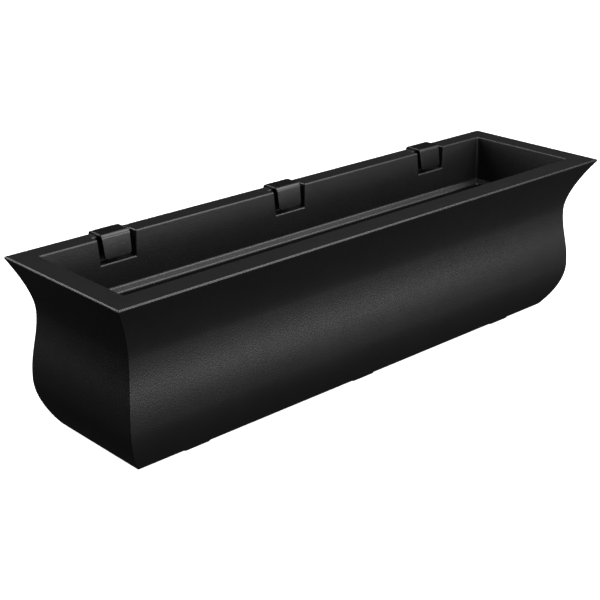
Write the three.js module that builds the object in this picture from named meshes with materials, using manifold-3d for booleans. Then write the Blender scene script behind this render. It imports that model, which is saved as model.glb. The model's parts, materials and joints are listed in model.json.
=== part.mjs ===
// A long window-box planter with three adjustable wall brackets. Millimetres, +Z up.
// +X runs along the box and +Y points at the wall. The origin is under the middle of the whole
// object, on the surface that the support arms stand on.
import * as THREE from "three";
import { mergeVertices } from "three/addons/utils/BufferGeometryUtils.js";
import Module from "manifold-3d";

const wasm = await Module();
wasm.setup();

// ---- driving dimensions -------------------------------------------------------------------
const BOX_LENGTH = 1219;
const BOX_DEPTH = 326;
const BOX_HEIGHT = 328;
const WALL = 3;
const RIM_ROUND = 4;

// Rim width over each wall, and the liner below it.
const RIM_FRONT = 47;
const RIM_BACK = 40;
const RIM_END = 44;
const LEDGE_DROP = 94;
const LEDGE_WIDTH = 13.3;
const LEDGE_FALL = 6;
const FLOOR_HEIGHT = 60;
const UPPER_DRAFT = 4.5;
const LOWER_DRAFT = 6;

// Outer skin: how far it stands in from the rim's edge, and at what height.
const SHOW_FACE = { neck: 44, neckHeight: 215.5, belly: 33.2, bellyHeight: 93.7, foot: 71.5, rimPull: 0.53 };
const WALL_FACE = { neck: 14, neckHeight: 236, belly: 2, bellyHeight: 100, foot: 27, rimPull: 0 };

// Where the skin's curve handles lie, as shares of the height or inset between two curve ends.
const FOOT_HANDLE = { inset: 0.475, height: 0.242 };
const BELLY_HANDLES = { below: 0.605, above: 0.413 };
const NECK_HANDLES = { below: 0.385, above: 0.29 };
const RIM_HANDLE = 0.688;

// Bent steel strip of the brackets.
const STRIP_WIDTH = 60;
const STRIP = 4.5;
const BEND = 7;
const SEAT_GAP = 0.3;
const BRACKET_PITCH = 408;

// Pocket in the liner for the hook's front leg.
const POCKET_WIDTH = 80;
const POCKET_DROP = 47;
const POCKET_DEPTH = 17;
const POCKET_TAPER = 3;
const HOOK_DROP = 40;
const HOOK_BACK_LEG = 176;
const HOOK_FACE = 37.5;
const HOOK_BEND = 8.5;
const HOOK_LEAN = 8 * Math.PI / 180;
const HOOK_TAPER = 1.5;
const ARM_TIP = 76;
const PLATE_DROP = 28;
const CORNER = 6;

// Clamp screws, through a slot in the hook strap that lets it lift clear of the rim.
const LIFT = 50;
const SCREW_RADIUS = 4;
const SCREW_LENGTH = 20;
const SCREW_HEAD_RADIUS = 7.8;
const SOCKET_RADIUS = 2.9;
const SOCKET_DEPTH = 2;
const THREAD_CHAMFER = 0.8;
const SCREW_DROPS = [76, 106];
const SLOT_RADIUS = 4.6;
const WASHER_THICKNESS = 1.6;
const WASHER_RADIUS = 8.4;
const NUT_THICKNESS = 6.5;
const NUT_FLATS = 13;
const THREAD_GAP = 0.15;
const WALL_SCREW_RADIUS = 4;
const COUNTERSINK_RADIUS = 7.5;
const COUNTERSINK_DEPTH = 3.2;
const WALL_SCREW_DROPS = [46, 200, 270];

// Water passes from the soil into the hollow through the floor and leaves through the back skin.
const DRAIN_RADIUS = 6;
const DRAIN_COUNT = 6;
const OVERFLOW_RADIUS = 5;
const OVERFLOW_HEIGHT = 45;
const OVERFLOW_OFFSET = 300;

// Straight steps in each curve of the skin, each bend of the strip and each full circle.
const CURVE_STEPS = 12;
const BEND_STEPS = 6;
const ROUND_STEPS = 24;

// ---- places that follow from them ---------------------------------------------------------
const BASE_Z = STRIP + SEAT_GAP;
const RIM_Z = BASE_Z + BOX_HEIGHT;
const TOTAL_DEPTH = BOX_DEPTH + 2 * SEAT_GAP + 2 * STRIP;
const FRONT_Y = -TOTAL_DEPTH / 2;
const BACK_Y = FRONT_Y + BOX_DEPTH;
const HOOK_BACK_Y = BACK_Y + SEAT_GAP + STRIP;
const PLATE_FRONT_Y = HOOK_BACK_Y + SEAT_GAP;
const PLATE_BACK_Y = PLATE_FRONT_Y + STRIP;
const STRAP_TOP_Z = RIM_Z + SEAT_GAP + STRIP;
const BRACKETS = { left: -BRACKET_PITCH, middle: 0, right: BRACKET_PITCH };
const SCREWS = { upper: RIM_Z - SCREW_DROPS[0], lower: RIM_Z - SCREW_DROPS[1] };

// ---- materials ----------------------------------------------------------------------------
const plastic = new THREE.MeshStandardMaterial({ color: 0x1c1c1d, roughness: 0.55, metalness: 0 });
const coatedSteel = new THREE.MeshStandardMaterial({ color: 0x151516, roughness: 0.42, metalness: 0.1 });
const blackenedSteel = new THREE.MeshStandardMaterial({ color: 0x232324, roughness: 0.4, metalness: 0.8 });

// ---- solids -------------------------------------------------------------------------------
function solid(geometry) {
  const bare = geometry.clone();
  bare.deleteAttribute("normal");
  bare.deleteAttribute("uv");
  const merged = mergeVertices(bare, 1e-4);
  return new wasm.Manifold(new wasm.Mesh({
    numProp: 3,
    vertProperties: merged.attributes.position.array,
    triVerts: new Uint32Array(merged.index.array),
  }));
}

function geometryOf(manifold) {
  const mesh = manifold.getMesh();
  const geometry = new THREE.BufferGeometry();
  geometry.setAttribute("position", new THREE.BufferAttribute(mesh.vertProperties, 3));
  geometry.setIndex(new THREE.BufferAttribute(mesh.triVerts, 1));
  geometry.computeVertexNormals();
  return geometry;
}

// A section drawn in (y, z), drawn out along X about x = 0.
function alongX(section, width, curveSegments = BEND_STEPS) {
  const geometry = new THREE.ExtrudeGeometry(section, { depth: width, bevelEnabled: false, curveSegments });
  geometry.translate(0, 0, -width / 2);
  const basis = new THREE.Matrix4().makeBasis(
    new THREE.Vector3(0, 1, 0), new THREE.Vector3(0, 0, 1), new THREE.Vector3(1, 0, 0));
  return solid(geometry.applyMatrix4(basis));
}

// A section drawn in (x, z), drawn out along Y from lowY to highY.
function alongY(section, lowY, highY, curveSegments = BEND_STEPS) {
  const depth = highY - lowY;
  const geometry = new THREE.ExtrudeGeometry(section, { depth, bevelEnabled: false, curveSegments });
  const basis = new THREE.Matrix4().makeBasis(
    new THREE.Vector3(1, 0, 0), new THREE.Vector3(0, 0, 1), new THREE.Vector3(0, -1, 0));
  return solid(geometry.applyMatrix4(basis).translate(0, highY, 0));
}

function block(low, high) {
  const size = new THREE.Vector3().subVectors(high, low);
  const centre = new THREE.Vector3().addVectors(low, high).multiplyScalar(0.5);
  return solid(new THREE.BoxGeometry(size.x, size.y, size.z).translate(centre.x, centre.y, centre.z));
}

// A round solid about a line along Y, from a profile of (radius, y) points.
function turnedAlongY(profile, x, z) {
  const points = profile.map(([radius, y]) => new THREE.Vector2(radius, y));
  const geometry = new THREE.LatheGeometry(points, ROUND_STEPS);
  return solid(geometry.translate(x, 0, z));
}

function polygon(points) {
  return new THREE.Shape(points.map(([u, v]) => new THREE.Vector2(u, v)));
}

// ---- planter body -------------------------------------------------------------------------
// The curve control points of one S-curved side, from the foot up to the rounded rim edge.
// edge is the rim's edge, and inward is +1 or -1, the way from that edge into the box.
function sidePoints(edge, inward, face) {
  const { neck, neckHeight, belly, bellyHeight, foot, rimPull } = face;
  const waist = neckHeight - bellyHeight;
  const flare = BOX_HEIGHT - RIM_ROUND - neckHeight;
  return [
    [foot, 0],
    [foot - (foot - belly) * FOOT_HANDLE.inset, bellyHeight * FOOT_HANDLE.height],
    [belly, bellyHeight * BELLY_HANDLES.below],
    [belly, bellyHeight],
    [belly, bellyHeight + waist * BELLY_HANDLES.above],
    [neck, neckHeight - waist * NECK_HANDLES.below],
    [neck, neckHeight],
    [neck, neckHeight + flare * NECK_HANDLES.above],
    [neck * rimPull, neckHeight + flare * RIM_HANDLE],
    [0, neckHeight + flare],
  ].map(([inset, height]) => [edge + inward * inset, BASE_Z + height]);
}

// The closed section of the skin between two S-curved sides.
function skinSection(low, high, lowFace, highFace) {
  const up = sidePoints(low, 1, lowFace);
  const down = sidePoints(high, -1, highFace).reverse();
  const outline = new THREE.Shape();
  outline.moveTo(...up[0]);
  for (let i = 1; i < up.length; i += 3) {
    outline.bezierCurveTo(...up[i], ...up[i + 1], ...up[i + 2]);
  }
  outline.quadraticCurveTo(low, RIM_Z, low + RIM_ROUND, RIM_Z);
  outline.lineTo(high - RIM_ROUND, RIM_Z);
  outline.quadraticCurveTo(high, RIM_Z, ...down[0]);
  for (let i = 1; i < down.length; i += 3) {
    outline.bezierCurveTo(...down[i], ...down[i + 1], ...down[i + 2]);
  }
  return outline;
}

// The outer skin's shape, drawn in by the given thickness. Its corners are mitres: where the
// long section and the end section cross.
function outerShape(thickness) {
  const front = FRONT_Y + thickness;
  const back = BACK_Y - thickness;
  const end = BOX_LENGTH / 2 - thickness;
  const sideSection = skinSection(front, back, SHOW_FACE, WALL_FACE);
  const endSection = skinSection(-end, end, SHOW_FACE, SHOW_FACE);
  return alongX(sideSection, BOX_LENGTH, CURVE_STEPS)
    .intersect(alongY(endSection, FRONT_Y, BACK_Y, CURVE_STEPS));
}

// The liner's hollow, grown by the given thickness, and open past the rim.
function linerSection(low, high, growth) {
  const ledgeZ = RIM_Z - LEDGE_DROP - growth;
  const lipZ = ledgeZ - LEDGE_FALL;
  const floorZ = BASE_Z + FLOOR_HEIGHT - growth;
  const upper = UPPER_DRAFT;
  const lower = UPPER_DRAFT + LEDGE_WIDTH;
  const bottom = lower + LOWER_DRAFT;
  const left = low - growth;
  const right = high + growth;
  return polygon([
    [left, RIM_Z], [left + upper, ledgeZ], [left + lower, lipZ], [left + bottom, floorZ],
    [right - bottom, floorZ], [right - lower, lipZ], [right - upper, ledgeZ], [right, RIM_Z],
    [right, RIM_Z + WALL], [left, RIM_Z + WALL],
  ]);
}

function linerShape(growth) {
  const end = BOX_LENGTH / 2 - RIM_END;
  const sideSection = linerSection(FRONT_Y + RIM_FRONT, BACK_Y - RIM_BACK, growth);
  const endSection = linerSection(-end, end, growth);
  let shape = alongX(sideSection, BOX_LENGTH).intersect(alongY(endSection, FRONT_Y, BACK_Y));
  for (const x of Object.values(BRACKETS)) {
    const mouth = POCKET_WIDTH / 2 + growth;
    const foot = mouth - POCKET_TAPER;
    const footZ = RIM_Z - POCKET_DROP - growth;
    const outline = polygon([
      [x - foot, footZ], [x + foot, footZ], [x + mouth, RIM_Z],
      [x + mouth, RIM_Z + WALL], [x - mouth, RIM_Z + WALL], [x - mouth, RIM_Z],
    ]);
    const mouthY = BACK_Y - RIM_BACK;
    shape = shape.add(alongY(outline, mouthY - UPPER_DRAFT, mouthY + POCKET_DEPTH + growth));
  }
  return shape;
}

function planterBody() {
  const between = block(
    new THREE.Vector3(-BOX_LENGTH / 2, FRONT_Y, BASE_Z + WALL),
    new THREE.Vector3(BOX_LENGTH / 2, BACK_Y, RIM_Z - WALL));
  const hollow = outerShape(WALL).intersect(between).subtract(linerShape(WALL));
  let body = outerShape(0).subtract(linerShape(0)).subtract(hollow);

  const floorMiddleY = FRONT_Y + (BOX_DEPTH + RIM_FRONT - RIM_BACK) / 2;
  const drainPitch = (BOX_LENGTH - 2 * RIM_END) / DRAIN_COUNT;
  for (let i = 0; i < DRAIN_COUNT; i += 1) {
    const drain = new THREE.CylinderGeometry(DRAIN_RADIUS, DRAIN_RADIUS, 4 * WALL, ROUND_STEPS);
    drain.rotateX(Math.PI / 2);
    drain.translate((i + 0.5 - DRAIN_COUNT / 2) * drainPitch, floorMiddleY, BASE_Z + FLOOR_HEIGHT);
    body = body.subtract(solid(drain));
  }
  for (const x of [-OVERFLOW_OFFSET, OVERFLOW_OFFSET]) {
    const inset = WALL_FACE.foot;
    const overflow = new THREE.CylinderGeometry(OVERFLOW_RADIUS, OVERFLOW_RADIUS, 2 * inset, ROUND_STEPS);
    overflow.translate(x, BACK_Y - inset, BASE_Z + OVERFLOW_HEIGHT);
    body = body.subtract(solid(overflow));
  }
  return body;
}

// ---- brackets -----------------------------------------------------------------------------
// A view outline in (x, z), with the strip's two lower corners rounded, and drawn in by the taper.
function tongue(x, lowZ, highZ, taper = 0) {
  const left = x - STRIP_WIDTH / 2 + taper;
  const right = x + STRIP_WIDTH / 2 - taper;
  const outline = new THREE.Shape();
  outline.moveTo(left - taper, highZ);
  outline.lineTo(left, lowZ + CORNER);
  outline.absarc(left + CORNER, lowZ + CORNER, CORNER, Math.PI, 1.5 * Math.PI, false);
  outline.lineTo(right - CORNER, lowZ);
  outline.absarc(right - CORNER, lowZ + CORNER, CORNER, 1.5 * Math.PI, 2 * Math.PI, false);
  outline.lineTo(right + taper, highZ);
  return outline;
}

// The hook strap goes over the rim: a short leg in the pocket, and a long slotted leg behind.
function hookStrap(x) {
  const frontY = BACK_Y - HOOK_FACE;
  const backY = HOOK_BACK_Y;
  const top = STRAP_TOP_Z;
  const tipZ = RIM_Z - HOOK_DROP;
  const legZ = RIM_Z - HOOK_BACK_LEG;
  const bendY = frontY + HOOK_BEND;
  const bendZ = top - HOOK_BEND;
  // The front leg leans out a little towards its tip, and its tip is cut level.
  const lean = new THREE.Vector2(-Math.cos(HOOK_LEAN), Math.sin(HOOK_LEAN));
  const outer = lean.clone().multiplyScalar(HOOK_BEND).add(new THREE.Vector2(bendY, bendZ));
  const inner = lean.clone().multiplyScalar(HOOK_BEND - STRIP).add(new THREE.Vector2(bendY, bendZ));
  const tipShift = (from) => (from.y - tipZ) * Math.tan(HOOK_LEAN);
  const section = new THREE.Shape();
  section.moveTo(outer.x - tipShift(outer), tipZ);
  section.lineTo(outer.x, outer.y);
  section.absarc(bendY, bendZ, HOOK_BEND, Math.PI - HOOK_LEAN, Math.PI / 2, true);
  section.lineTo(backY - BEND, top);
  section.absarc(backY - BEND, top - BEND, BEND, Math.PI / 2, 0, true);
  section.lineTo(backY, legZ);
  section.lineTo(backY - STRIP, legZ);
  section.lineTo(backY - STRIP, top - BEND);
  section.absarc(backY - BEND, top - BEND, BEND - STRIP, 0, Math.PI / 2, false);
  section.lineTo(bendY, top - STRIP);
  section.absarc(bendY, bendZ, HOOK_BEND - STRIP, Math.PI / 2, Math.PI - HOOK_LEAN, false);
  section.lineTo(inner.x - tipShift(inner), tipZ);
  const middleY = (frontY + backY) / 2;
  const strip = alongX(section, STRIP_WIDTH).translate([x, 0, 0]);
  const tipY = frontY - HOOK_DROP;
  const frontHalf = strip.intersect(alongY(tongue(x, tipZ, top, HOOK_TAPER), tipY, middleY));
  const backHalf = strip.intersect(alongY(tongue(x, legZ, top), middleY, backY));

  const slot = new THREE.Shape();
  const slotTop = SCREWS.upper;
  const slotBottom = SCREWS.lower - LIFT;
  slot.moveTo(x + SLOT_RADIUS, slotBottom);
  slot.lineTo(x + SLOT_RADIUS, slotTop);
  slot.absarc(x, slotTop, SLOT_RADIUS, 0, Math.PI, false);
  slot.lineTo(x - SLOT_RADIUS, slotBottom);
  slot.absarc(x, slotBottom, SLOT_RADIUS, Math.PI, 2 * Math.PI, false);
  return frontHalf.add(backHalf).subtract(alongY(slot, middleY, backY + STRIP));
}

// The support arm stands against the wall and runs forward under the box.
function supportArm(x) {
  const tipY = FRONT_Y + ARM_TIP;
  const plateTop = RIM_Z - PLATE_DROP;
  const section = new THREE.Shape();
  section.moveTo(tipY, 0);
  section.lineTo(PLATE_BACK_Y - BEND, 0);
  section.absarc(PLATE_BACK_Y - BEND, BEND, BEND, -Math.PI / 2, 0, false);
  section.lineTo(PLATE_BACK_Y, plateTop);
  section.lineTo(PLATE_FRONT_Y, plateTop);
  section.lineTo(PLATE_FRONT_Y, BEND);
  section.absarc(PLATE_BACK_Y - BEND, BEND, BEND - STRIP, 0, -Math.PI / 2, true);
  section.lineTo(tipY, STRIP);

  const plan = new THREE.Shape();
  const half = STRIP_WIDTH / 2;
  plan.moveTo(-half, PLATE_BACK_Y);
  plan.lineTo(-half, tipY + CORNER);
  plan.absarc(-half + CORNER, tipY + CORNER, CORNER, Math.PI, 1.5 * Math.PI, false);
  plan.lineTo(half - CORNER, tipY);
  plan.absarc(half - CORNER, tipY + CORNER, CORNER, 1.5 * Math.PI, 2 * Math.PI, false);
  plan.lineTo(half, PLATE_BACK_Y);
  const planGeometry = new THREE.ExtrudeGeometry(plan, {
    depth: plateTop, bevelEnabled: false, curveSegments: BEND_STEPS,
  });
  let arm = alongX(section, STRIP_WIDTH).intersect(solid(planGeometry)).translate([x, 0, 0]);

  for (const z of Object.values(SCREWS)) {
    const hole = screwProfile(SEAT_GAP, PLATE_FRONT_Y - STRIP, PLATE_BACK_Y + STRIP);
    arm = arm.subtract(turnedAlongY(hole, x, z));
  }
  // The wall screws' heads sit in countersinks on the side that faces the box.
  for (const drop of WALL_SCREW_DROPS) {
    const hole = [
      [0, PLATE_FRONT_Y - STRIP], [COUNTERSINK_RADIUS, PLATE_FRONT_Y - STRIP],
      [COUNTERSINK_RADIUS, PLATE_FRONT_Y], [WALL_SCREW_RADIUS, PLATE_FRONT_Y + COUNTERSINK_DEPTH],
      [WALL_SCREW_RADIUS, PLATE_BACK_Y + STRIP], [0, PLATE_BACK_Y + STRIP],
    ];
    arm = arm.subtract(turnedAlongY(hole, x, RIM_Z - drop));
  }
  return arm;
}

// Half outline of a flat-head screw whose head is flush with the plate's back, as (radius, y).
// gap is the clearance round it, and the two ends are where the shank and the head stop.
function screwProfile(gap, shankEnd, headEnd) {
  const cone = SCREW_HEAD_RADIUS - SCREW_RADIUS;
  return [
    [0, shankEnd], [SCREW_RADIUS + gap, shankEnd], [SCREW_RADIUS + gap, PLATE_BACK_Y - cone],
    [SCREW_HEAD_RADIUS + gap, PLATE_BACK_Y], [SCREW_HEAD_RADIUS + gap, headEnd], [0, headEnd],
  ];
}

function clampScrew(x, z) {
  const tip = PLATE_BACK_Y - SCREW_LENGTH;
  const cone = SCREW_HEAD_RADIUS - SCREW_RADIUS;
  const faceY = PLATE_BACK_Y - SEAT_GAP;
  const profile = [
    [0, tip], [SCREW_RADIUS - THREAD_CHAMFER, tip], [SCREW_RADIUS, tip + THREAD_CHAMFER],
    [SCREW_RADIUS, faceY - cone], [SCREW_HEAD_RADIUS, faceY], [0, faceY],
  ];
  const socket = new THREE.CylinderGeometry(SOCKET_RADIUS, SOCKET_RADIUS, 2 * SOCKET_DEPTH, 6);
  socket.translate(x, faceY, z);
  return turnedAlongY(profile, x, z).subtract(solid(socket));
}

function washer(x, z) {
  const backY = HOOK_BACK_Y - STRIP - THREAD_GAP;
  const inner = SCREW_RADIUS + SEAT_GAP;
  return turnedAlongY([
    [inner, backY - WASHER_THICKNESS], [WASHER_RADIUS, backY - WASHER_THICKNESS],
    [WASHER_RADIUS, backY], [inner, backY], [inner, backY - WASHER_THICKNESS],
  ], x, z);
}

function nut(x, z) {
  const backY = HOOK_BACK_Y - STRIP - 2 * THREAD_GAP - WASHER_THICKNESS;
  const cornerRadius = NUT_FLATS / 2 / Math.cos(Math.PI / 6);
  const hex = new THREE.CylinderGeometry(cornerRadius, cornerRadius, NUT_THICKNESS, 6);
  const boreRadius = SCREW_RADIUS + THREAD_GAP;
  const bore = new THREE.CylinderGeometry(boreRadius, boreRadius, 2 * NUT_THICKNESS, ROUND_STEPS);
  const chamfer = turnedAlongY([
    [0, backY - NUT_THICKNESS], [NUT_FLATS / 2, backY - NUT_THICKNESS],
    [cornerRadius, backY - NUT_THICKNESS + THREAD_CHAMFER], [cornerRadius, backY], [0, backY],
  ], x, z);
  const centreY = backY - NUT_THICKNESS / 2;
  return solid(hex.translate(x, centreY, z)).intersect(chamfer).subtract(solid(bore.translate(x, centreY, z)));
}

// ---- the assembly -------------------------------------------------------------------------
const planter = new THREE.Group();

function place(name, manifold, material) {
  const mesh = new THREE.Mesh(geometryOf(manifold), material);
  mesh.name = name;
  planter.add(mesh);
}

place("planter_body", planterBody(), plastic);
for (const [side, x] of Object.entries(BRACKETS)) {
  place(`hook_strap_${side}`, hookStrap(x), coatedSteel);
  place(`support_arm_${side}`, supportArm(x), coatedSteel);
  for (const [level, z] of Object.entries(SCREWS)) {
    place(`clamp_screw_${side}_${level}`, clampScrew(x, z), blackenedSteel);
    place(`washer_${side}_${level}`, washer(x, z), blackenedSteel);
    place(`nut_${side}_${level}`, nut(x, z), blackenedSteel);
  }
}

export default planter;
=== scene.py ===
"""The looks of a long window-box planter: a moulded black box on three coated steel wall brackets.

Everything is in metres, in the part's own frame: +X along the box, +Y at the wall, +Z up.
"""

import json
import math

import bmesh
import bpy
from mathutils import Matrix, Vector


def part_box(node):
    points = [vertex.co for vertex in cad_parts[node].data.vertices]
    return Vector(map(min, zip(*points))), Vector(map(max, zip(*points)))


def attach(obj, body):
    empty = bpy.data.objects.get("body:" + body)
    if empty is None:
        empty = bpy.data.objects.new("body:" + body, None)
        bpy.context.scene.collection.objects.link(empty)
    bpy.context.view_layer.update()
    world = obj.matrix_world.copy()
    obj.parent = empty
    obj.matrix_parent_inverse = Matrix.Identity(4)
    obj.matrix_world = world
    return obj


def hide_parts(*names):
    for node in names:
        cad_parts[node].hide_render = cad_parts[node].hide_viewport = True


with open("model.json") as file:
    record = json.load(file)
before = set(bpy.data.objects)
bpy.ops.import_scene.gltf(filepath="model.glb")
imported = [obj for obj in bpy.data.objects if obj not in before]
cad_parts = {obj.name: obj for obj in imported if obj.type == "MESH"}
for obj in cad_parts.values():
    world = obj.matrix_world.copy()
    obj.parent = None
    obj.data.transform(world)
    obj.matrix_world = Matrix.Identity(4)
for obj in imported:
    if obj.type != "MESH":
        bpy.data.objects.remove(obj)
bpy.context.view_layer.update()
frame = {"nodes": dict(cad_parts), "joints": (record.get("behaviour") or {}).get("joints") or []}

# ---- sizes of the moulded box ----------------------------------------------------------------
BOX_LOW, BOX_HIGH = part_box("planter_body")
BOX_HEIGHT = BOX_HIGH.z - BOX_LOW.z
RIM_EDGE_RADIUS = 0.003
RIM_FRONT = 0.047
RIM_BACK = 0.040
RIM_END = 0.044
LEDGE_DROP = 0.094
LEDGE_FALL = 0.0060
LEDGE_WIDTH = 0.0133
FLOOR_HEIGHT = 0.060
UPPER_DRAFT = 0.0045
LOWER_DRAFT = 0.006

# One S-curved side: how far the neck, belly and foot stand in from the rim's edge, and where.
# pull places the curve's handle under the rim, as a share of the neck's inset. At 0 the side meets
# the rim upright.
SHOW_FACE = {
    "neck": 0.0440, "neck_z": 0.2155, "belly": 0.0332, "belly_z": 0.0937, "foot": 0.0715, "pull": 0.53,
}
WALL_FACE = {
    "neck": 0.014, "neck_z": 0.236, "belly": 0.002, "belly_z": 0.100, "foot": 0.027, "pull": 0.0,
}
# Where the curve's handles lie, as shares of the height or inset between two curve ends.
FOOT_HANDLE = (0.475, 0.242)
BELLY_HANDLES = (0.605, 0.413)
NECK_HANDLES = (0.385, 0.290)
RIM_HANDLE = 0.688
RIM_LEAN = math.radians(34)
FOOT_ROUND = 0.002
FOOT_ROUND_STOPS = (0.0, 0.35, 0.7)
MITRE_RADIUS = 0.0012
CORNER_STEPS = 4
CURVE_STEPS = 16
EDGE_STEPS = 8

# Fillet radii inside the box.
INNER_EDGE = 0.0028
INNER_CORNER = 0.006
LEDGE_BEND = 0.0030
LEDGE_EDGE = 0.0030
FLOOR_BEND = 0.005
POCKET_EDGE = 0.0030
POCKET_BEND = 0.0016
FILLET_STEPS = 4

# ---- sizes of the pockets and brackets -------------------------------------------------------
SIDES = ("left", "middle", "right")
STRIP = 0.0045
BEND = 0.007
POCKET_WIDTH = 0.080
POCKET_DROP = 0.047
POCKET_DEPTH = 0.017
POCKET_TAPER = 0.003
HOOK_DROP = 0.040
HOOK_FACE = 0.0375
HOOK_BEND = 0.0085
HOOK_LEAN = math.radians(8)
HOOK_TAPER = 0.0015
STRIP_CORNER = 0.006
STRIP_CORNER_STEPS = 6
STRIP_EDGE = 0.0011
STRIP_EDGE_STEPS = 3
BEND_CUTS = 12
ROUND_STEPS = 32
SLOT_RADIUS = 0.0046
SCREW_HOLE_RADIUS = 0.0043
SCREW_SINK_RADIUS = 0.0081
WALL_HOLE_RADIUS = 0.004
WALL_SINK_RADIUS = 0.0075
WALL_SCREW_DROPS = (0.046, 0.200, 0.270)

# ---- fasteners and water holes ---------------------------------------------------------------
SCREW_RADIUS = 0.004
SCREW_HEAD_RADIUS = 0.0078
SCREW_ARRIS = 0.0003
SOCKET_SIDES = 6
SOCKET_RADIUS = 0.0029
SOCKET_DEPTH = 0.002
SOCKET_POINT = 0.0006
THREAD_PITCH = 0.00125
THREAD_DEPTH = 0.0006
PLAIN_SHANK = 3 * THREAD_PITCH
DRAIN_RADIUS = 0.006
DRAIN_DEPTH = 0.014
DRAIN_LIP = 0.0012
DRAIN_LIP_EASE = 0.3 * DRAIN_LIP
DRAIN_COUNT = 6
OVERFLOW_RADIUS = 0.005
OVERFLOW_HEIGHT = 0.045
OVERFLOW_OFFSET = 0.300

# ---- mesh tolerances, and the angles past which an edge is drawn hard -------------------------
ON_AXIS = 1e-9
SAME_PLACE = 1e-6
SAME_CUT = 1e-7
SHELL_CREASE = 38
STRAP_CREASE = 50
SCREW_CREASE = 30

# ---- camera, floor and lights ----------------------------------------------------------------
CAMERA_PLACE = (-1.6288, -1.6677, 1.0760)
CAMERA_HEADING = 42.835
CAMERA_DIP = 22.026
CAMERA_LENS = 77.87
CAMERA_SENSOR = 36
FLOOR_HALF = 30.0
FLOOR_PAINT = 0.86
FLOOR_GLOW = 0.97
BACKDROP_GLOW = 1.0
AMBIENT_GLOW = 0.018

# Softboxes: name, place, target, width, height, power. rear_low and side_low stand behind the box and
# past its right end, under the height of its rim, so that its back and that end can be seen.
LIGHTS = (
    ("key_high", (1.6, -3.2, 1.35), (-0.2, -0.1, 0.2), 2.4, 1.6, 31.0),
    ("key_low", (1.6, -3.2, 0.55), (-0.2, -0.1, 0.2), 2.4, 0.8, 46.0),
    ("key_left", (0.2, -3.6, 1.35), (-0.2, -0.1, 0.2), 2.4, 1.6, 56.0),
    ("overhead", (0.6, -0.6, 2.4), (0.0, 0.0, 0.3), 2.4, 1.6, 50.0),
    ("edge_right", (1.9, -1.2, 2.3), (0.0, 0.0, 0.3), 1.2, 1.2, 27.0),
    ("edge_back", (-1.1, 2.0, 2.2), (0.0, 0.0, 0.3), 1.2, 1.2, 40.0),
    ("back_fill", (-2.6, 2.4, 1.0), (0.0, 0.0, 0.2), 1.6, 1.2, 29.0),
    ("rear_low", (1.2, 3.4, 0.16), (0.0, 0.1, 0.15), 2.6, 0.30, 60.0),
    ("side_low", (3.4, 0.9, 0.16), (0.6, 0.1, 0.15), 1.8, 0.30, 30.0),
)


# ---- mesh helpers ----------------------------------------------------------------------------
def dress(mesh, material):
    mesh.materials.clear()
    mesh.materials.append(material)


def new_object(name, mesh, material):
    obj = bpy.data.objects.new(name, mesh)
    bpy.context.scene.collection.objects.link(obj)
    if material:
        dress(mesh, material)
    return obj


def mesh_from(bm, name):
    mesh = bpy.data.meshes.new(name)
    bm.to_mesh(mesh)
    bm.free()
    return mesh


def applied(obj):
    """The object keeps what its modifiers make, and loses the modifiers."""
    graph = bpy.context.evaluated_depsgraph_get()
    made = bpy.data.meshes.new_from_object(obj.evaluated_get(graph))
    old = obj.data
    obj.modifiers.clear()
    obj.data = made
    bpy.data.meshes.remove(old)
    made.name = obj.name


def shade(obj, sharp_angle):
    """Smooth shading that keeps flat faces flat and hard edges hard."""
    mesh = obj.data
    mesh.polygons.foreach_set("use_smooth", [True] * len(mesh.polygons))
    mesh.set_sharp_from_angle(angle=math.radians(sharp_angle))
    weighted = obj.modifiers.new("even_normals", "WEIGHTED_NORMAL")
    weighted.keep_sharp = True


def revolved(profile, steps, name):
    """A closed round solid about +Z, from (radius, height) points that start and end on the axis."""
    bm = bmesh.new()
    rings = []
    for radius, height in profile:
        if radius < ON_AXIS:
            rings.append([bm.verts.new((0, 0, height))])
            continue
        turn = 2 * math.pi / steps
        rings.append([
            bm.verts.new((radius * math.cos(i * turn), radius * math.sin(i * turn), height))
            for i in range(steps)
        ])
    for low, high in zip(rings, rings[1:]):
        for i in range(steps):
            j = (i + 1) % steps
            corners = [low[i % len(low)], low[j % len(low)], high[j % len(high)], high[i % len(high)]]
            face = [v for k, v in enumerate(corners) if v not in corners[:k]]
            if len(face) > 2:
                bm.faces.new(face)
    bmesh.ops.recalc_face_normals(bm, faces=bm.faces)
    return mesh_from(bm, name)


def cut(obj, cutters):
    """Cuts the solids out of the object, and removes them."""
    for cutter in cutters:
        boolean = obj.modifiers.new("cut", "BOOLEAN")
        boolean.operation = "DIFFERENCE"
        boolean.solver = "EXACT"
        boolean.object = cutter
    applied(obj)
    for cutter in cutters:
        bpy.data.objects.remove(cutter)


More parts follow.
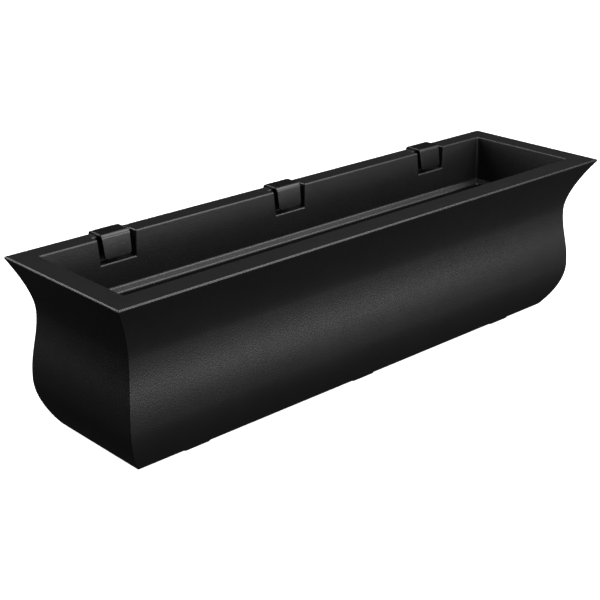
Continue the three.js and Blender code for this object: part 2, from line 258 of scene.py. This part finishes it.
# ---- materials -------------------------------------------------------------------------------
class Shader:
    """A Principled material, with short ways to add the nodes that a moulded surface needs."""

    def __init__(self, name, metallic=0.0):
        self.material = bpy.data.materials.new(name)
        self.material.use_nodes = True
        self.tree = self.material.node_tree
        self.surface = self.tree.nodes["Principled BSDF"]
        self.surface.inputs["Metallic"].default_value = metallic
        self.place = self.tree.nodes.new("ShaderNodeTexCoord").outputs["Object"]

    def node(self, kind, inputs=None, **settings):
        made = self.tree.nodes.new(kind)
        for key, value in settings.items():
            setattr(made, key, value)
        for key, value in (inputs or {}).items():
            if isinstance(value, bpy.types.NodeSocket):
                self.tree.links.new(value, made.inputs[key])
            else:
                made.inputs[key].default_value = value
        return made

    def noise(self, size, detail=2.0, roughness=0.5):
        """Cloudy noise whose blotches are about size across."""
        inputs = {"Vector": self.place, "Scale": 1 / size, "Detail": detail, "Roughness": roughness}
        return self.node("ShaderNodeTexNoise", inputs).outputs["Fac"]

    def pebbles(self, size):
        """Soft round cells about size across."""
        inputs = {"Vector": self.place, "Scale": 1 / size, "Randomness": 1.0}
        return self.node("ShaderNodeTexVoronoi", inputs, feature="SMOOTH_F1").outputs["Distance"]

    def ramp(self, value, low, high):
        """Maps 0 to 1 onto low to high."""
        inputs = {"Value": value, "To Min": low, "To Max": high}
        return self.node("ShaderNodeMapRange", inputs).outputs["Result"]

    def mix(self, factor, dark, light):
        """A colour between two, by factor."""
        made = self.node("ShaderNodeMix", data_type="RGBA")
        self.tree.links.new(factor, made.inputs["Factor"])
        made.inputs[6].default_value = (*dark, 1)
        made.inputs[7].default_value = (*light, 1)
        return made.outputs[2]

    def bump(self, height, depth, before=None):
        """A bump that is depth high, in metres, alone or on top of another bump."""
        inputs = {"Height": height, "Distance": depth, "Strength": 1.0}
        if before:
            inputs["Normal"] = before
        return self.node("ShaderNodeBump", inputs).outputs["Normal"]

    def finish(self, colour, roughness, normal):
        self.tree.links.new(colour, self.surface.inputs["Base Color"])
        self.tree.links.new(roughness, self.surface.inputs["Roughness"])
        self.tree.links.new(normal, self.surface.inputs["Normal"])
        return self.material


def moulded_plastic():
    """Black polyethylene from a leather-grained mould: soft pebbles, and a slightly uneven gloss."""
    shader = Shader("moulded_plastic")
    blotches = shader.noise(0.09, detail=4)
    colour = shader.mix(blotches, (0.0070, 0.0070, 0.0073), (0.0105, 0.0105, 0.0109))
    roughness = shader.ramp(shader.noise(0.030, detail=5), 0.36, 0.42)
    grain = shader.bump(shader.pebbles(0.0024), 0.00016)
    wrinkles = shader.bump(shader.noise(0.0016, detail=3, roughness=0.6), 0.00011, before=grain)
    return shader.finish(colour, roughness, wrinkles)


def powder_coat():
    """Black powder coat on steel: a faint orange peel under an even, slightly glossier skin."""
    shader = Shader("powder_coat")
    colour = shader.mix(shader.noise(0.02, detail=4), (0.0032, 0.0032, 0.0033), (0.0048, 0.0048, 0.0050))
    roughness = shader.ramp(shader.noise(0.006, detail=4), 0.28, 0.33)
    peel = shader.bump(shader.noise(0.0016, detail=2), 0.00012)
    return shader.finish(colour, roughness, peel)


def black_oxide():
    """Blackened steel: dark, a little metallic, with fine turning marks and worn spots."""
    shader = Shader("black_oxide", metallic=0.75)
    colour = shader.mix(shader.noise(0.003, detail=5), (0.018, 0.018, 0.020), (0.055, 0.054, 0.052))
    roughness = shader.ramp(shader.noise(0.0015, detail=4), 0.30, 0.48)
    marks = shader.bump(shader.noise(0.0004, detail=2), 0.00004)
    return shader.finish(colour, roughness, marks)


# ---- the moulded box -------------------------------------------------------------------------
def side_curve(face):
    """Close points of (inset, height) up one S-curved side, from the foot to the rim's round edge."""
    neck, belly, foot = face["neck"], face["belly"], face["foot"]
    neck_z, belly_z = face["neck_z"], face["belly_z"]
    waist = neck_z - belly_z
    lean = RIM_LEAN if face["pull"] else 0.0
    end = (RIM_EDGE_RADIUS * (1 - math.cos(lean)), BOX_HEIGHT - RIM_EDGE_RADIUS * (1 + math.sin(lean)))
    flare = end[1] - neck_z
    handles = [
        (foot, 0),
        (foot - (foot - belly) * FOOT_HANDLE[0], belly_z * FOOT_HANDLE[1]),
        (belly, belly_z * BELLY_HANDLES[0]),
        (belly, belly_z),
        (belly, belly_z + waist * BELLY_HANDLES[1]),
        (neck, neck_z - waist * NECK_HANDLES[0]),
        (neck, neck_z),
        (neck, neck_z + flare * NECK_HANDLES[1]),
        (neck * face["pull"], neck_z + flare * RIM_HANDLE),
        end,
    ]
    line = [Vector(handles[0])]
    for i in range(0, len(handles) - 1, 3):
        a, b, c, d = (Vector(h) for h in handles[i:i + 4])
        for step in range(1, CURVE_STEPS + 1):
            t = step / CURVE_STEPS
            u = 1 - t
            line.append(a * u ** 3 + 3 * b * t * u * u + 3 * c * t * t * u + d * t ** 3)
    return line


def inset_at(line, height):
    """How far the side stands in at a height: along its curve, and then round the rim's edge."""
    over = height - (BOX_HEIGHT - RIM_EDGE_RADIUS)
    if height > line[-1].y or over > 0:
        return RIM_EDGE_RADIUS - math.sqrt(max(0.0, RIM_EDGE_RADIUS ** 2 - over ** 2))
    for low, high in zip(line, line[1:]):
        if height <= high.y:
            return low.x + (high.x - low.x) * (height - low.y) / (high.y - low.y)
    return line[-1].x


def plan_ring(bm, show_inset, wall_inset, z):
    """Points round the box at one height, from the front left: a rectangle with rounded corners."""
    x = BOX_HIGH.x - show_inset
    front = BOX_LOW.y + show_inset
    back = BOX_HIGH.y - wall_inset
    radius = MITRE_RADIUS
    ring = []
    for corner, (cx, cy) in enumerate([(-x, front), (x, front), (x, back), (-x, back)]):
        centre = Vector((cx - math.copysign(radius, cx), cy + (radius if corner < 2 else -radius)))
        for step in range(CORNER_STEPS + 1):
            angle = math.pi + (corner + step / CORNER_STEPS) * math.pi / 2
            ring.append(bm.verts.new((
                centre.x + radius * math.cos(angle), centre.y + radius * math.sin(angle), z)))
    return ring


def outer_skin(bm):
    """The underside and the four S-curved sides. Returns the ring that ends at the flat of the rim."""
    show = side_curve(SHOW_FACE)
    wall = side_curve(WALL_FACE)
    heights = [p.y for p in show if p.y > FOOT_ROUND]
    first_turn = -RIM_LEAN
    for step in range(1, EDGE_STEPS + 1):
        turn = first_turn + (math.pi / 2 - first_turn) * step / EDGE_STEPS
        heights.append(BOX_HEIGHT - RIM_EDGE_RADIUS * (1 - math.sin(turn)))
    rings = []
    for share in FOOT_ROUND_STOPS:
        # A soft arris round the foot, where the sides meet the underside.
        lift = FOOT_ROUND * share * share
        tuck = FOOT_ROUND * (1 - share) ** 2
        insets = (inset_at(show, lift) + tuck, inset_at(wall, lift) + tuck)
        rings.append(plan_ring(bm, *insets, BOX_LOW.z + lift))
    for height in heights:
        insets = (inset_at(show, height), inset_at(wall, height))
        rings.append(plan_ring(bm, *insets, BOX_LOW.z + height))
    for low, high in zip(rings, rings[1:]):
        for i in range(len(low)):
            j = (i + 1) % len(low)
            bm.faces.new((low[i], low[j], high[j], high[i]))
    bm.faces.new(reversed(rings[0]))
    return rings[-1]


def corners_at(bm, inset, z):
    """The four corners of the liner's rectangle, drawn in from its mouth, from the front left."""
    x = BOX_HIGH.x - RIM_END - inset
    front = BOX_LOW.y + RIM_FRONT + inset
    back = BOX_HIGH.y - RIM_BACK - inset
    return [bm.verts.new((px, py, z)) for px, py in ((-x, front), (x, front), (x, back), (-x, back))]


def across(bm, left, right, y, z):
    """A vertex at each end of a line along X."""
    return bm.verts.new((left, y, z)), bm.verts.new((right, y, z))


def liner(bm, rim_ring):
    """The rim's flat top and the stepped liner with its three pockets, as flat faces.

    Returns the edges to round, as (first vertex, second vertex, radius).
    """
    top_z = BOX_HIGH.z
    ledge_z = top_z - LEDGE_DROP
    mouth = corners_at(bm, 0, top_z)
    ledge_outer = corners_at(bm, UPPER_DRAFT, ledge_z)
    ledge_inner = corners_at(bm, UPPER_DRAFT + LEDGE_WIDTH, ledge_z - LEDGE_FALL)
    floor = corners_at(bm, UPPER_DRAFT + LEDGE_WIDTH + LOWER_DRAFT, BOX_LOW.z + FLOOR_HEIGHT)
    rounded = []

    # Pockets, from left to right: what they add to the rim's face and to the back wall's face.
    back_y = BOX_HIGH.y - RIM_BACK
    pocket_z = top_z - POCKET_DROP
    wall_y = back_y - UPPER_DRAFT * POCKET_DROP / LEDGE_DROP
    rim_notches = []
    wall_notches = []
    for side in SIDES:
        low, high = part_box(f"hook_strap_{side}")
        left = (low.x + high.x - POCKET_WIDTH) / 2
        right = left + POCKET_WIDTH
        deep_y = back_y + POCKET_DEPTH
        foot_left, foot_right = left + POCKET_TAPER, right - POCKET_TAPER
        top_left, top_right = across(bm, left, right, back_y, top_z)
        deep_left, deep_right = across(bm, left, right, deep_y, top_z)
        low_left, low_right = across(bm, foot_left, foot_right, wall_y, pocket_z)
        end_left, end_right = across(bm, foot_left, foot_right, deep_y, pocket_z)
        for face in (
            (top_left, deep_left, end_left, low_left),
            (top_right, low_right, end_right, deep_right),
            (deep_left, deep_right, end_right, end_left),
            (low_left, end_left, end_right, low_right),
        ):
            bm.faces.new(face)
        rim_notches += [top_left, deep_left, deep_right, top_right]
        wall_notches += [top_left, low_left, low_right, top_right]
        edges = (
            (top_left, deep_left), (deep_left, deep_right), (deep_right, top_right),
            (top_left, low_left), (low_left, low_right), (low_right, top_right),
        )
        bends = (
            (deep_left, end_left), (deep_right, end_right), (end_left, end_right),
            (low_left, end_left), (low_right, end_right),
        )
        rounded += [(first, second, POCKET_EDGE) for first, second in edges]
        rounded += [(first, second, POCKET_BEND) for first, second in bends]

    # The rim's flat top: one face over each wall, meeting in mitres at the corners.
    back_wall = 2
    middle = CORNER_STEPS // 2
    per_corner = CORNER_STEPS + 1
    for i in range(4):
        j = (i + 1) % 4
        start = i * per_corner + middle
        outer = [rim_ring[k % len(rim_ring)] for k in range(start, start + per_corner + 1)]
        inner = [mouth[j], mouth[i]]
        if i == back_wall:
            inner = [mouth[3], *rim_notches, mouth[2]]
        bm.faces.new(outer + inner)

    back_edge = [mouth[3], *wall_notches, mouth[2]]
    bm.faces.new([*back_edge, ledge_outer[2], ledge_outer[3]])
    for i in range(4):
        j = (i + 1) % 4
        if i != back_wall:
            bm.faces.new((mouth[i], mouth[j], ledge_outer[j], ledge_outer[i]))
            rounded.append((mouth[i], mouth[j], INNER_EDGE))
        bm.faces.new((ledge_outer[i], ledge_outer[j], ledge_inner[j], ledge_inner[i]))
        bm.faces.new((ledge_inner[i], ledge_inner[j], floor[j], floor[i]))
        rounded.append((mouth[i], ledge_outer[i], INNER_CORNER))
        rounded.append((ledge_outer[i], ledge_outer[j], LEDGE_BEND))
        rounded.append((ledge_inner[i], ledge_inner[j], LEDGE_EDGE))
        rounded.append((ledge_inner[i], floor[i], INNER_CORNER))
        rounded.append((floor[i], floor[j], FLOOR_BEND))
    bm.faces.new(floor)

    # The back wall's top edge runs only between the pockets, each of which puts four points in it.
    stops = [mouth[3], *rim_notches, mouth[2]]
    rounded += [(stops[k], stops[k + 1], INNER_EDGE) for k in range(0, len(stops), 4)]
    return rounded


def water_cutters():
    """Solids that bore the drains in the floor and the overflow holes in the back skin."""
    wide = DRAIN_RADIUS + DRAIN_LIP
    profile = [
        (0, -DRAIN_DEPTH), (DRAIN_RADIUS, -DRAIN_DEPTH), (DRAIN_RADIUS, -DRAIN_LIP),
        (DRAIN_RADIUS + DRAIN_LIP_EASE, -DRAIN_LIP_EASE), (wide, 0), (wide, DRAIN_LIP), (0, DRAIN_LIP),
    ]
    cutters = []
    middle_y = (BOX_LOW.y + RIM_FRONT + BOX_HIGH.y - RIM_BACK) / 2
    pitch = 2 * (BOX_HIGH.x - RIM_END) / DRAIN_COUNT
    for i in range(DRAIN_COUNT):
        drain = new_object("drain_cutter", revolved(profile, ROUND_STEPS, "drain_cutter"), None)
        drain.location = ((i + 0.5 - DRAIN_COUNT / 2) * pitch, middle_y, BOX_LOW.z + FLOOR_HEIGHT)
        cutters.append(drain)
    inset = WALL_FACE["foot"]
    bore = [(0, -inset), (OVERFLOW_RADIUS, -inset), (OVERFLOW_RADIUS, inset), (0, inset)]
    for x in (-OVERFLOW_OFFSET, OVERFLOW_OFFSET):
        overflow = new_object("overflow_cutter", revolved(bore, ROUND_STEPS, "overflow_cutter"), None)
        overflow.rotation_euler = (math.pi / 2, 0, 0)
        overflow.location = (x, BOX_HIGH.y, BOX_LOW.z + OVERFLOW_HEIGHT)
        cutters.append(overflow)
    return cutters


def planter_shell(material):
    bm = bmesh.new()
    rim_ring = outer_skin(bm)
    rounded = liner(bm, rim_ring)
    bmesh.ops.recalc_face_normals(bm, faces=bm.faces)
    widest = max(radius for _, _, radius in rounded)
    weight = bm.edges.layers.float.new("bevel_weight_edge")
    for first, second, radius in rounded:
        bm.edges.get((first, second))[weight] = radius / widest
    shell = new_object("planter_shell", mesh_from(bm, "planter_shell"), material)
    fillets = shell.modifiers.new("fillets", "BEVEL")
    fillets.limit_method = "WEIGHT"
    fillets.width = widest
    fillets.segments = FILLET_STEPS
    fillets.use_clamp_overlap = False
    applied(shell)
    cut(shell, water_cutters())
    shade(shell, SHELL_CREASE)
    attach(shell, "planter")
    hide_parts("planter_body")


# ---- brackets --------------------------------------------------------------------------------
def arc(cx, cy, radius, start, end, steps):
    """Points round an arc, in degrees, both ends included."""
    points = []
    for i in range(steps + 1):
        angle = math.radians(start + (end - start) * i / steps)
        points.append((cx + radius * math.cos(angle), cy + radius * math.sin(angle)))
    return points


def half_outline(half_width, length, low_corner, high_corner, holes):
    """The right half of a flat strip, as (x, s) points, with half of each hole on its middle line.

    holes are (low s, high s, radius) from the top down, and a round one has its two s alike.
    """
    points = [(0.0, 0.0)]
    if low_corner:
        points += arc(half_width - low_corner, low_corner, low_corner, -90, 0, STRIP_CORNER_STEPS)
    else:
        points.append((half_width, 0.0))
    if high_corner:
        centre = (half_width - high_corner, length - high_corner)
        points += arc(*centre, high_corner, 0, 90, STRIP_CORNER_STEPS)
    else:
        points.append((half_width, length))
    points.append((0.0, length))
    quarter = ROUND_STEPS // 4
    for low, high, radius in holes:
        if high > low:
            points += arc(0, high, radius, 90, 0, quarter)
            points += arc(0, low, radius, 0, -90, quarter)
        else:
            points += arc(0, low, radius, 90, -90, 2 * quarter)
    return points


def flat_strip(length, width, low_corner, high_corner, outer_holes, inner_holes):
    """A closed flat strip in (x, s, t), where s runs along it and t is through it.

    t is +half on the outer side of the bends and -half on the inner side. A hole may be wider on
    one side, as a countersink is.
    """
    bm = bmesh.new()
    half = STRIP / 2
    for hand in (1, -1):
        loops = []
        for t, holes in ((half, outer_holes), (-half, inner_holes)):
            outline = half_outline(width / 2, length, low_corner, high_corner, holes)
            loops.append([bm.verts.new((hand * x, s, t)) for x, s in outline])
        outer, inner = loops
        bm.faces.new(outer)
        bm.faces.new(inner)
        for k in range(len(outer)):
            n = (k + 1) % len(outer)
            on_middle = abs(outer[k].co.x) < ON_AXIS and abs(outer[n].co.x) < ON_AXIS
            if not on_middle:
                bm.faces.new((outer[k], outer[n], inner[n], inner[k]))
    bmesh.ops.remove_doubles(bm, verts=bm.verts, dist=SAME_PLACE)
    bmesh.ops.recalc_face_normals(bm, faces=bm.faces)
    arrises = [e for e in bm.edges if sum(abs(f.normal.z) > 0.999 for f in e.link_faces) == 1]
    bmesh.ops.bevel(
        bm, geom=arrises, offset=STRIP_EDGE, segments=STRIP_EDGE_STEPS, profile=0.5,
        affect="EDGES", clamp_overlap=True)
    return bm


def bend_strip(bm, start, heading, pieces, outward, taper=0.0):
    """Bends a flat strip along a line in the (y, z) plane.

    pieces are (length, turn in degrees) along the strip's middle. heading is where the line sets
    off, in degrees from +Y, and outward is +1 where the outer side is to the left of the line.
    taper is the share of its width that the first piece loses by its end.
    """
    begin = 0.0
    for length, turn in pieces:
        if turn:
            for i in range(BEND_CUTS + 1):
                geometry = [*bm.verts, *bm.edges, *bm.faces]
                place = (0, begin + length * i / BEND_CUTS, 0)
                bmesh.ops.bisect_plane(
                    bm, geom=geometry, plane_co=place, plane_no=(0, 1, 0), dist=SAME_CUT)
        begin += length

    def along(s):
        point, angle = Vector(start), math.radians(heading)
        for i, (length, turn) in enumerate(pieces):
            last = i == len(pieces) - 1
            step = s if last else min(s, length)
            if turn:
                bend = math.radians(turn) * step / length
                radius = length / math.radians(turn)
                side = Vector((-math.sin(angle), math.cos(angle)))
                angle += bend
                point = point + radius * (side - Vector((-math.sin(angle), math.cos(angle))))
            else:
                point = point + step * Vector((math.cos(angle), math.sin(angle)))
            s -= step
            if s <= 0 and not last:
                break
        return point, Vector((-math.sin(angle), math.cos(angle))) * outward

    for v in bm.verts:
        point, normal = along(v.co.y)
        place = point + normal * v.co.z
        narrowing = taper * max(0.0, 1 - v.co.y / pieces[0][0])
        v.co = (v.co.x * (1 - narrowing), place.x, place.y)


def strap_piece(name, bm, x, material, body, node):
    bmesh.ops.recalc_face_normals(bm, faces=bm.faces)
    piece = new_object(name, mesh_from(bm, name), material)
    piece.location.x = x
    shade(piece, STRAP_CREASE)
    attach(piece, body)
    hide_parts(node)


def screw_heights():
    """The heights of the lower and the upper clamp screw, which every bracket shares."""
    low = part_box("clamp_screw_left_lower")
    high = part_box("clamp_screw_left_upper")
    return (low[0].z + low[1].z) / 2, (high[0].z + high[1].z) / 2


def hook(side, material):
    """The strap that hooks over the rim, with its short leg in the pocket and its slotted back leg."""
    low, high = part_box(f"hook_strap_{side}")
    turn = 90 - math.degrees(HOOK_LEAN)
    middle_radius = HOOK_BEND - STRIP / 2
    bend_centre = Vector((BOX_HIGH.y - HOOK_FACE + HOOK_BEND, high.z - HOOK_BEND))
    leg_up = Vector((math.sin(HOOK_LEAN), math.cos(HOOK_LEAN)))
    leg_top = bend_centre + middle_radius * Vector((-leg_up.y, leg_up.x))
    front = (leg_top.y - BOX_HIGH.z + HOOK_DROP) / leg_up.y
    over = high.y - BEND - bend_centre.x
    back = high.z - BEND - low.z
    pieces = [
        (front, 0), (middle_radius * math.radians(turn), -turn), (over, 0),
        ((BEND - STRIP / 2) * math.pi / 2, -90), (back, 0),
    ]
    length = sum(piece[0] for piece in pieces)
    lower_screw, upper_screw = screw_heights()
    lift = frame["joints"][0]["range_m"][1]
    slot_low = length - (upper_screw - low.z)
    slot_high = length - (lower_screw - lift - low.z)
    slot = [(slot_low, slot_high, SLOT_RADIUS)]
    bm = flat_strip(length, high.x - low.x, STRIP_CORNER, STRIP_CORNER, slot, slot)
    taper = 2 * HOOK_TAPER / (high.x - low.x)
    bend_strip(bm, leg_top - front * leg_up, turn, pieces, outward=1, taper=taper)
    middle = (low.x + high.x) / 2
    strap_piece(f"hook_{side}_strap", bm, middle, material, f"hook_{side}", f"hook_strap_{side}")


def arm(side, material):
    """The support arm: up the wall behind the box, and forward under it."""
    low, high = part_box(f"support_arm_{side}")
    quarter = (BEND - STRIP / 2) * math.pi / 2
    under = high.y - BEND - low.y
    up = high.z - BEND
    pieces = [(under, 0), (quarter, 90), (up, 0)]
    length = sum(piece[0] for piece in pieces)
    screws = [length - (high.z - z) for z in screw_heights()]
    wall = [length - (high.z - (BOX_HIGH.z - drop)) for drop in WALL_SCREW_DROPS]
    outer = [(s, s, SCREW_SINK_RADIUS) for s in screws] + [(s, s, WALL_HOLE_RADIUS) for s in wall]
    inner = [(s, s, SCREW_HOLE_RADIUS) for s in screws] + [(s, s, WALL_SINK_RADIUS) for s in wall]
    outer.sort(reverse=True)
    inner.sort(reverse=True)
    bm = flat_strip(length, high.x - low.x, STRIP_CORNER, 0, outer, inner)
    bend_strip(bm, (low.y, STRIP / 2), 0, pieces, outward=-1)
    middle = (low.x + high.x) / 2
    strap_piece(f"arm_{side}", bm, middle, material, "planter", f"support_arm_{side}")


# ---- fasteners -------------------------------------------------------------------------------
def screw_mesh(length, material):
    """A countersunk socket screw about +Z, its head's face at the top, z = 0. Its thread is rings."""
    cone = SCREW_HEAD_RADIUS - SCREW_RADIUS
    profile = [(0, -length), (SCREW_RADIUS - THREAD_DEPTH, -length)]
    z = -length + THREAD_PITCH / 2
    while z < -cone - PLAIN_SHANK:
        profile += [(SCREW_RADIUS, z), (SCREW_RADIUS - THREAD_DEPTH, z + THREAD_PITCH / 2)]
        z += THREAD_PITCH
    profile += [
        (SCREW_RADIUS, z), (SCREW_RADIUS, -cone), (SCREW_HEAD_RADIUS, -SCREW_ARRIS),
        (SCREW_HEAD_RADIUS - SCREW_ARRIS, 0), (0, 0),
    ]
    screw = new_object("screw", revolved(profile, ROUND_STEPS, "screw"), None)
    socket = [
        (0, -SOCKET_DEPTH - SOCKET_POINT), (SOCKET_RADIUS, -SOCKET_DEPTH),
        (SOCKET_RADIUS, SCREW_ARRIS), (0, SCREW_ARRIS),
    ]
    cut(screw, [new_object("socket", revolved(socket, SOCKET_SIDES, "socket"), None)])
    mesh = screw.data
    bpy.data.objects.remove(screw)
    dress(mesh, material)
    return mesh


def fasteners(material):
    """The six clamp screws, and the finish of the frame's own washers and nuts."""
    low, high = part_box("clamp_screw_left_upper")
    mesh = screw_mesh(high.y - low.y, material)
    for side in SIDES:
        for level in ("upper", "lower"):
            node = f"clamp_screw_{side}_{level}"
            low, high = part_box(node)
            screw = new_object(f"screw_{side}_{level}", mesh.copy(), None)
            screw.matrix_world = (
                Matrix.Translation(((low.x + high.x) / 2, high.y, (low.z + high.z) / 2))
                @ Matrix.Rotation(-math.pi / 2, 4, "X"))
            shade(screw, SCREW_CREASE)
            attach(screw, "planter")
            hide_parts(node)
            for kind in ("washer", "nut"):
                dress(frame["nodes"][f"{kind}_{side}_{level}"].data, material)


# ---- studio ----------------------------------------------------------------------------------
def studio_floor():
    """A white floor about as bright as the backdrop, which throws no light back at the box."""
    bm = bmesh.new()
    h = FLOOR_HALF
    bm.faces.new([bm.verts.new(p) for p in ((-h, -h, 0), (h, -h, 0), (h, h, 0), (-h, h, 0))])
    shader = Shader("studio_floor")
    shader.surface.inputs["Base Color"].default_value = (FLOOR_PAINT, FLOOR_PAINT, FLOOR_PAINT, 1)
    shader.surface.inputs["Roughness"].default_value = 1.0
    shader.surface.inputs["Specular IOR Level"].default_value = 0.0
    shader.surface.inputs["Emission Color"].default_value = (1, 1, 1, 1)
    shader.surface.inputs["Emission Strength"].default_value = FLOOR_GLOW
    floor = new_object("studio_floor", mesh_from(bm, "studio_floor"), shader.material)
    floor.visible_glossy = False
    floor.visible_diffuse = False


def softbox(name, place, target, width, height, power):
    data = bpy.data.lights.new(name, "AREA")
    data.shape = "RECTANGLE"
    data.size = width
    data.size_y = height
    data.energy = power
    lamp = bpy.data.objects.new(name, data)
    bpy.context.scene.collection.objects.link(lamp)
    lamp.location = place
    lamp.rotation_euler = (Vector(target) - Vector(place)).to_track_quat("-Z", "Y").to_euler()


def studio_world(seen, ambient):
    """White where the camera sees past the floor, and a dimmer even grey as the light all round."""
    world = bpy.data.worlds.new("studio")
    bpy.context.scene.world = world
    world.use_nodes = True
    tree = world.node_tree
    background = tree.nodes["Background"]
    background.inputs["Color"].default_value = (1, 1, 1, 1)
    path = tree.nodes.new("ShaderNodeLightPath")
    strength = tree.nodes.new("ShaderNodeMapRange")
    strength.inputs["To Min"].default_value = ambient
    strength.inputs["To Max"].default_value = seen
    tree.links.new(path.outputs["Is Camera Ray"], strength.inputs["Value"])
    tree.links.new(strength.outputs["Result"], background.inputs["Strength"])


def studio():
    camera_data = bpy.data.cameras.new("camera")
    camera_data.lens = CAMERA_LENS
    camera_data.sensor_width = CAMERA_SENSOR
    camera = bpy.data.objects.new("camera", camera_data)
    bpy.context.scene.collection.objects.link(camera)
    camera.location = CAMERA_PLACE
    camera.rotation_euler = (math.radians(90 - CAMERA_DIP), 0, -math.radians(CAMERA_HEADING))
    bpy.context.scene.camera = camera
    bpy.context.scene.view_settings.view_transform = "Standard"

    studio_floor()
    studio_world(seen=BACKDROP_GLOW, ambient=AMBIENT_GLOW)
    for light in LIGHTS:
        softbox(*light)


# ---- the whole -------------------------------------------------------------------------------
studio()
planter_shell(moulded_plastic())
coat = powder_coat()
for side in SIDES:
    hook(side, coat)
    arm(side, coat)
fasteners(black_oxide())
